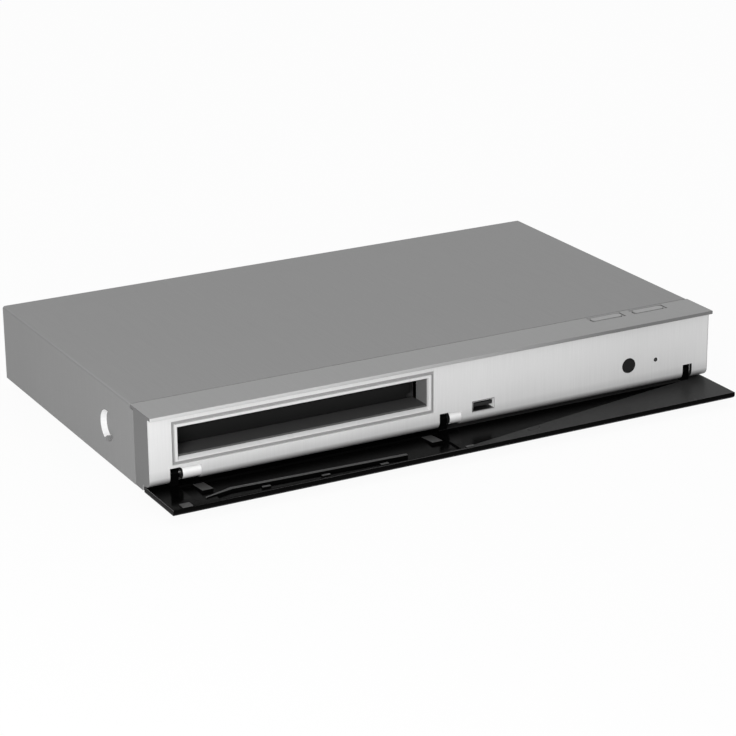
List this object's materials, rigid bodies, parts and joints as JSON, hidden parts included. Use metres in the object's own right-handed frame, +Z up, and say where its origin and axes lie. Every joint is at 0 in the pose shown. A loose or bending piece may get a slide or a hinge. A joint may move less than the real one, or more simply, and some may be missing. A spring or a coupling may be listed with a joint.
{
  "type": "disc player",
  "caption": "Slim tabletop disc player with a full-width drop-down front door, shown open, and a motor-driven disc tray.",
  "frame": {"origin": "on the floor under the centre of the box that holds the player with its door open", "axes": "+X to the right as seen from the front, +Y to the back, +Z up"},
  "size_m": [0.32, 0.215, 0.045],
  "materials": {
    "cover_steel": "satin grey paint with a fine hairline",
    "chassis_steel": "plain zinc-coated sheet",
    "moulding_grey": "satin grey paint",
    "fascia_silver": "silver paint with vertical hairlines",
    "boss_silver": "smooth bright silver",
    "frame_silver": "bright silver bevel",
    "door_gloss": "gloss black",
    "window_black": "clear dark window",
    "lamp_clear": "milky lens",
    "tray_black": "fine matt",
    "loader_grey": "matt",
    "gear_white": "plain acetal",
    "rubber_black": "matt",
    "screw_steel": "dark zinc",
    "socket_steel": "bright nickel",
    "pin_steel": "polished",
    "socket_black": "matt",
    "board_green": "solder mask",
    "board_tan": "bare laminate",
    "chip_black": "matt",
    "heatsink_dark": "anodised",
    "motor_steel": "plain",
    "magnet_grey": "plain",
    "traverse_metal": "dark coated steel",
    "screw_brass": "plain",
    "lens_glass": "coated",
    "transformer_tape": "yellow tape",
    "capacitor_sleeve": "shrink sleeve",
    "ribbon_white": "satin",
    "key_grey": "satin"
  },
  "bodies": {
    "player": {"top_cover": "cover_steel", "bottom_chassis": "chassis_steel", "rear_panel": "cover_steel", "front_moulding": "moulding_grey", "fascia": "fascia_silver", "hinge_bosses": "boss_silver", "hinge_pins": "pin_steel", "tray_opening_frame": "frame_silver", "mouth_tunnel": "tray_black", "receiver_window": "window_black", "lamp_lens": "lamp_clear", "front_usb_shell": "socket_steel", "front_usb_tongue": "socket_black", "front_board": "board_green", "key_board": "board_green", "tact_switches": "chip_black", "rubber_feet": "rubber_black", "rear_screws": "screw_steel", "chassis_screws": "motor_steel", "loader_chassis": "loader_grey", "clamp_bridge": "chassis_steel", "rubber_dampers": "rubber_black", "loading_motor": "motor_steel", "drive_belt": "rubber_black", "main_board": "board_green", "main_chip": "chip_black", "heatsink": "heatsink_dark", "power_board": "board_tan", "transformer": "transformer_tape", "capacitors": "capacitor_sleeve", "mains_inlet": "socket_black", "mains_pins": "screw_brass", "hdmi_socket": "socket_steel", "hdmi_tongue": "socket_black", "lan_socket": "socket_steel", "optical_socket": "socket_black", "ribbon_cable": "ribbon_white"},
    "door": {"door_outer_panel": "door_gloss", "door_inner_frame": "door_gloss", "door_striker": "pin_steel"},
    "power_button": {"power_key": "key_grey"},
    "open_button": {"open_key": "key_grey"},
    "tray": {"disc_tray": "tray_black", "tray_front": "tray_black"},
    "drive_gear": {"tray_drive_gear": "gear_white"},
    "belt_gear": {"pulley_gear": "gear_white"},
    "belt_pulley": {"motor_pulley": "gear_white"},
    "slider": {"cam_slider": "gear_white"},
    "traverse": {"traverse_frame": "traverse_metal", "guide_rods": "pin_steel", "sled_motor": "motor_steel", "spindle_motor": "motor_steel"},
    "disc_table": {"turntable": "loader_grey"},
    "feed_screw": {"lead_screw": "screw_brass"},
    "pickup": {"pickup_sled": "motor_steel", "objective_lens": "lens_glass"},
    "clamp": {"clamper": "loader_grey", "clamper_magnet": "magnet_grey"},
    "shutter": {"optical_shutter": "socket_black"}
  },
  "joints": [
    {"name": "door_hinge", "type": "hinge", "parent": "player", "child": "door", "pos_m": [0, -0.07705, 0.0125], "axis": [1, 0, 0], "range_deg": [-90, 0]},
    {"name": "tray_slide", "type": "slide", "parent": "player", "child": "tray", "axis": [0, -1, 0], "range_m": [0, 0.138]},
    {"name": "power_press", "type": "slide", "parent": "player", "child": "power_button", "axis": [0, 0, -1], "range_m": [0, 0.0005], "stiffness_N_per_m": 1500, "springref_m": -0.0002},
    {"name": "open_press", "type": "slide", "parent": "player", "child": "open_button", "axis": [0, 0, -1], "range_m": [0, 0.0005], "stiffness_N_per_m": 1500, "springref_m": -0.0002},
    {"name": "drive_gear_spin", "type": "hinge", "parent": "player", "child": "drive_gear", "pos_m": [-0.031, -0.04655, 0.021], "axis": [0, 0, -1], "range_deg": [0, 791.2]},
    {"name": "belt_gear_spin", "type": "hinge", "parent": "player", "child": "belt_gear", "pos_m": [-0.055, -0.05423, 0.017], "axis": [0, 0, 1], "range_deg": [0, 1977.2]},
    {"name": "belt_pulley_spin", "type": "hinge", "parent": "player", "child": "belt_pulley", "pos_m": [-0.085, -0.05055, 0.017], "axis": [0, 0, 1], "range_deg": [0, 8111.8]},
    {"name": "cam_slide", "type": "slide", "parent": "player", "child": "slider", "axis": [1, 0, 0], "range_m": [0, 0.018]},
    {"name": "traverse_tilt", "type": "hinge", "parent": "player", "child": "traverse", "pos_m": [-0.0766, 0.07945, 0.018], "axis": [1, 0, 0], "range_deg": [0, 3.7]},
    {"name": "turntable_spin", "type": "hinge", "parent": "traverse", "child": "disc_table", "pos_m": [-0.0766, -0.00055, 0.031], "axis": [0, 0, 1], "continuous": true},
    {"name": "clamp_spin", "type": "hinge", "parent": "player", "child": "clamp", "pos_m": [-0.0766, -0.00055, 0.0394], "axis": [0, 0, 1], "continuous": true},
    {"name": "pickup_slide", "type": "slide", "parent": "traverse", "child": "pickup", "axis": [0, 1, 0], "range_m": [0, 0.036]},
    {"name": "feed_screw_spin", "type": "hinge", "parent": "traverse", "child": "feed_screw", "pos_m": [-0.106, -0.00055, 0.017], "axis": [0, 1, 0], "range_deg": [0, 4320.5]},
    {"name": "shutter_hinge", "type": "hinge", "parent": "player", "child": "shutter", "pos_m": [0.0762, 0.10605, 0.0202], "axis": [1, 0, 0], "range_deg": [-80, 0], "stiffness_Nm_per_rad": 0.00005, "springref_deg": 17.19}
  ],
  "couplings": [
    {"joint": "drive_gear_spin", "follows": "tray_slide", "rad_per_m": 100},
    {"joint": "belt_gear_spin", "follows": "tray_slide", "rad_per_m": 250},
    {"joint": "belt_pulley_spin", "follows": "tray_slide", "rad_per_m": 1025.9},
    {"joint": "traverse_tilt", "follows": "cam_slide", "rad_per_m": 3.5377},
    {"joint": "clamp_spin", "follows": "turntable_spin", "ratio": 1},
    {"joint": "feed_screw_spin", "follows": "pickup_slide", "rad_per_m": 2094.4}
  ]
}
